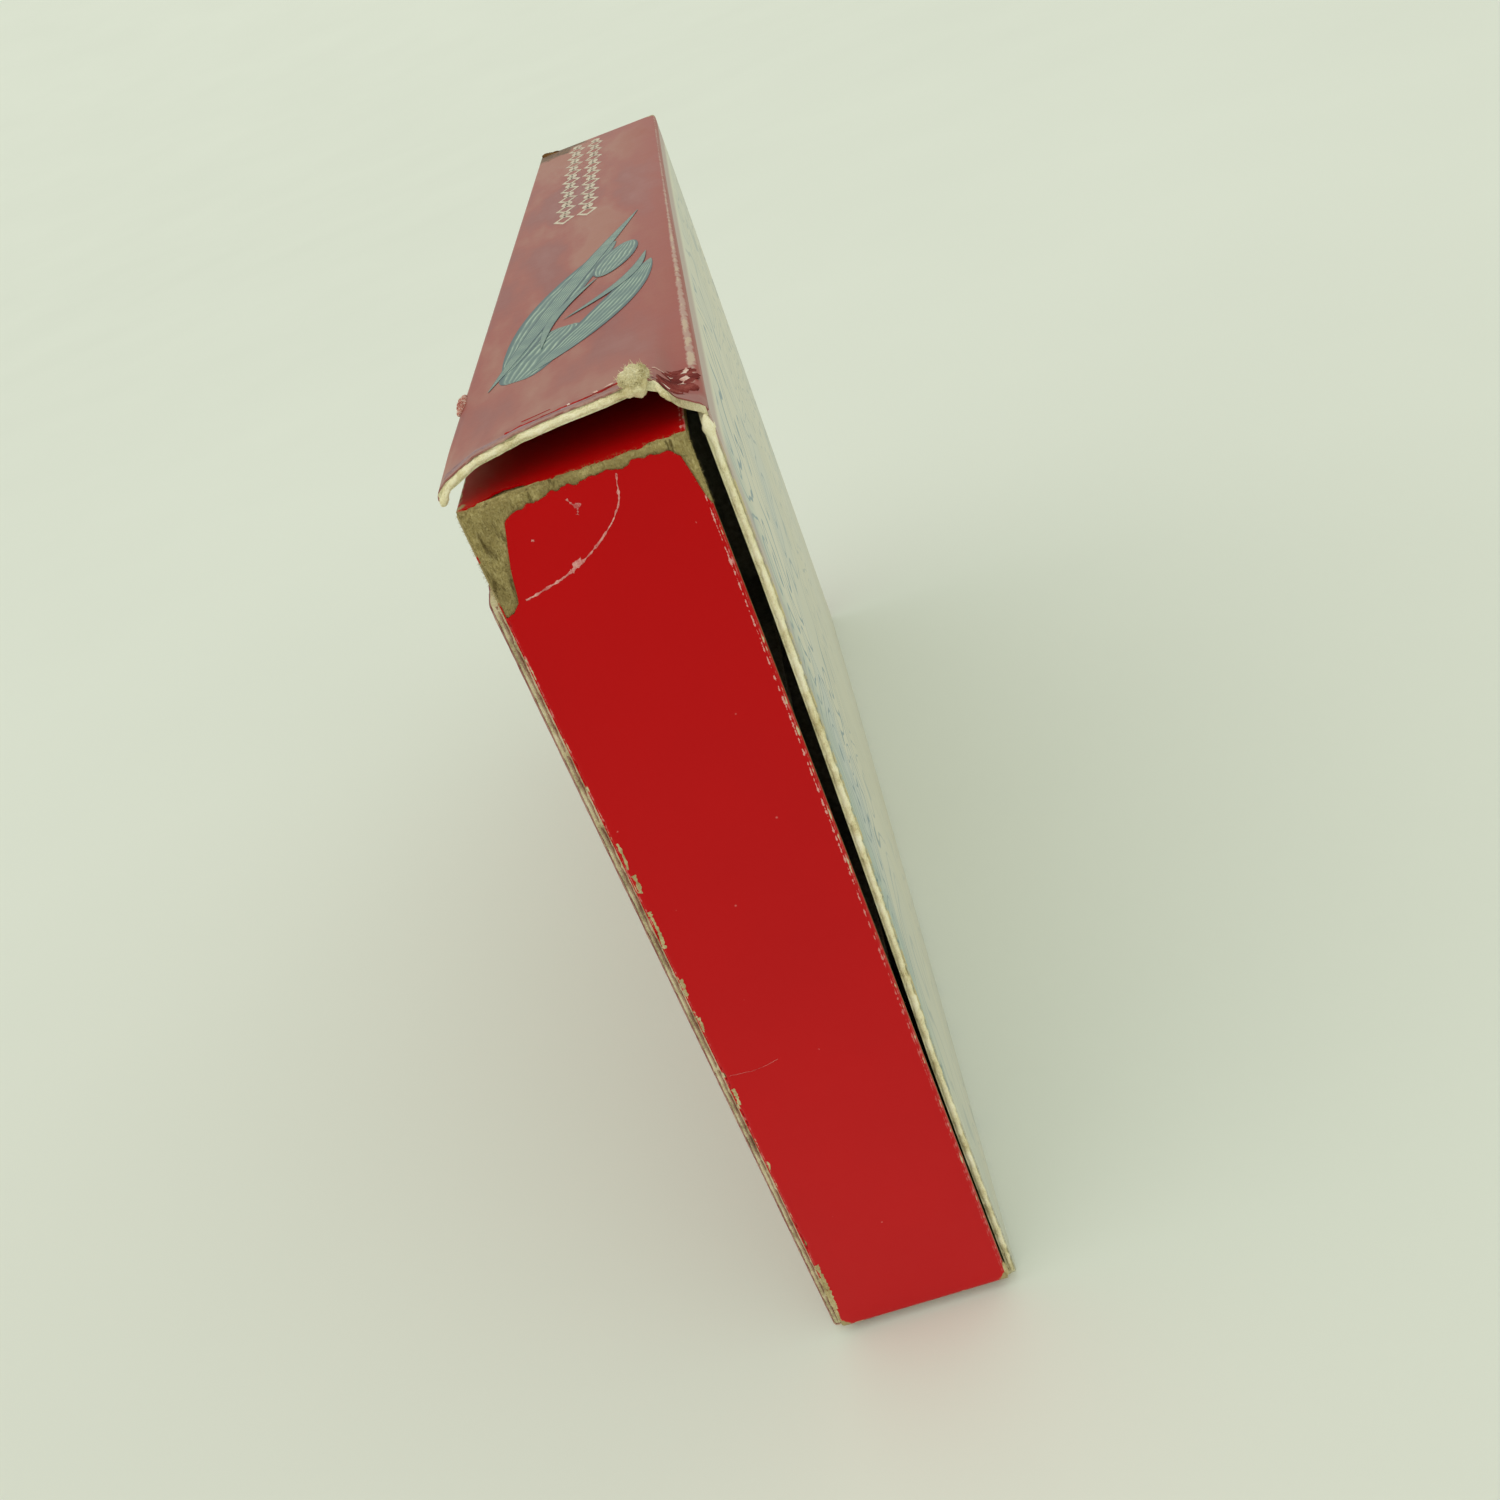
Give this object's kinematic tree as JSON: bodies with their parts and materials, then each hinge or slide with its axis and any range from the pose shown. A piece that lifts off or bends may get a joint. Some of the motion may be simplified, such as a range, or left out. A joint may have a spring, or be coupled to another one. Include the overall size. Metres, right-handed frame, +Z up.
{
  "type": "board game box",
  "caption": "Bookshelf board game box: a printed slipcase with one open end, and a red tray that slides out with dividers, a folded board, cards, dice and pawns.",
  "frame": {"origin": "middle of the bottom of the box's bounding box, with the box standing on its narrow lower wall", "axes": "+Z up, -Y out of the sleeve's open mouth, X across the two covers with the tray's open side towards +X"},
  "size_m": [0.0454, 0.355, 0.2164],
  "materials": {
    "chipboard": "matte",
    "pale_printed_paper": "satin",
    "dusty_red_printed_paper": "satin",
    "red_paper": "satin",
    "divider_card": "matte",
    "playing_board": "satin",
    "hinge_cloth": "matte",
    "counter_board": "satin",
    "booklet_paper": "satin",
    "staple_wire": "satin",
    "playing_cards": "satin",
    "dice_plastic": "gloss",
    "pawn_1": "gloss",
    "pawn_2": "gloss",
    "pawn_3": "gloss",
    "pawn_4": "gloss",
    "pawn_5": "gloss",
    "pawn_6": "gloss"
  },
  "bodies": {
    "sleeve": {"left_cover_board": "chipboard", "left_cover_sheet": "dusty_red_printed_paper", "right_cover_board": "chipboard", "right_cover_sheet": "pale_printed_paper", "spine_board": "chipboard", "spine_sheet": "dusty_red_printed_paper", "lower_wall_board": "chipboard", "lower_wall_sheet": "dusty_red_printed_paper", "closed_end_board": "chipboard", "closed_end_sheet": "dusty_red_printed_paper"},
    "tray": {"tray_base_board": "chipboard", "tray_base_sheet": "red_paper", "tray_front_board": "chipboard", "tray_front_sheet": "red_paper", "tray_rear_board": "chipboard", "tray_rear_sheet": "red_paper", "tray_upper_board": "chipboard", "tray_upper_sheet": "red_paper", "tray_lower_board": "chipboard", "tray_lower_sheet": "red_paper", "cell_divider_across": "divider_card", "cell_divider_1": "divider_card", "cell_divider_2": "divider_card", "platform_top": "divider_card", "platform_leg_front": "divider_card", "platform_leg_back": "divider_card", "playing_board_leaf_1": "playing_board", "playing_board_leaf_2": "playing_board", "playing_board_leaf_3": "playing_board", "playing_board_leaf_4": "playing_board", "hinge_tape_12": "hinge_cloth", "hinge_tape_23": "hinge_cloth", "hinge_tape_34": "hinge_cloth", "counter_sheet_1": "counter_board", "counter_sheet_2": "counter_board", "rules_booklet": "booklet_paper", "booklet_staple_1": "staple_wire", "booklet_staple_2": "staple_wire", "card_deck_1": "playing_cards", "card_deck_2": "playing_cards", "pawn_1": "pawn_1", "pawn_2": "pawn_2", "pawn_3": "pawn_3", "pawn_4": "pawn_4", "pawn_5": "pawn_5", "pawn_6": "pawn_6", "die_1": "dice_plastic", "die_2": "dice_plastic"}
  },
  "joints": [
    {"name": "tray_slide", "type": "slide", "parent": "sleeve", "child": "tray", "axis": [0, -1, 0], "range_m": [0, 0.36]}
  ]
}
